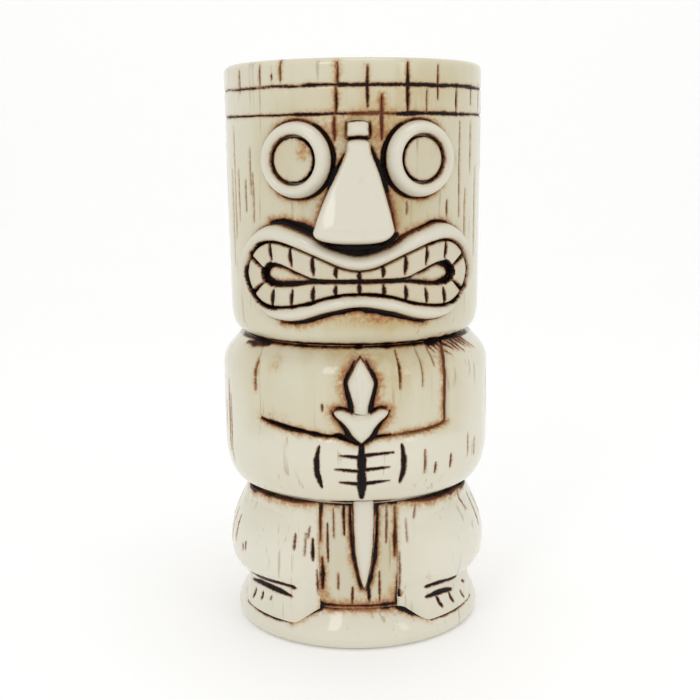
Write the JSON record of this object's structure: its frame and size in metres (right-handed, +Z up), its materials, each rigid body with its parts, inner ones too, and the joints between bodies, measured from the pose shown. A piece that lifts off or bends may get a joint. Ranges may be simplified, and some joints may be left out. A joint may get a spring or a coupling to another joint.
{
  "type": "tiki mug",
  "caption": "Tall cylindrical ceramic drinking mug carved as a standing figure with ring eyes, a toothed mouth, folded arms and a dagger.",
  "frame": {"origin": "centre of the flat underside that the mug stands on", "axes": "+Z up along the mug's axis, the carved face looks along -Y, +X to the right of someone looking at the face"},
  "size_m": [0.0818, 0.0853, 0.17],
  "materials": {
    "glazed_clay": "glossy clear glaze over cream clay, brown wash in the carved lines",
    "washed_clay": "glossy clear glaze over cream clay with a tan wash left on the surface",
    "sprig_clay": "glossy clear glaze, wiped clean of wash on the raised faces"
  },
  "bodies": {
    "root": {"base_plate": "glazed_clay", "leg_wall": "washed_clay", "torso_wall": "glazed_clay", "head_wall": "glazed_clay", "left_eye_ring": "sprig_clay", "right_eye_ring": "sprig_clay", "left_eye_disc": "washed_clay", "right_eye_disc": "washed_clay", "nose": "sprig_clay", "nose_knob": "sprig_clay", "lips": "sprig_clay", "upper_teeth": "sprig_clay", "lower_teeth": "sprig_clay", "corner_teeth": "sprig_clay", "dagger_leaf": "sprig_clay", "dagger_guard": "sprig_clay", "dagger_blade": "sprig_clay", "left_arm": "glazed_clay", "right_arm": "glazed_clay", "left_hand": "sprig_clay", "right_hand": "sprig_clay", "left_leg": "glazed_clay", "right_leg": "glazed_clay", "left_foot": "sprig_clay", "right_foot": "sprig_clay"}
  },
  "joints": []
}
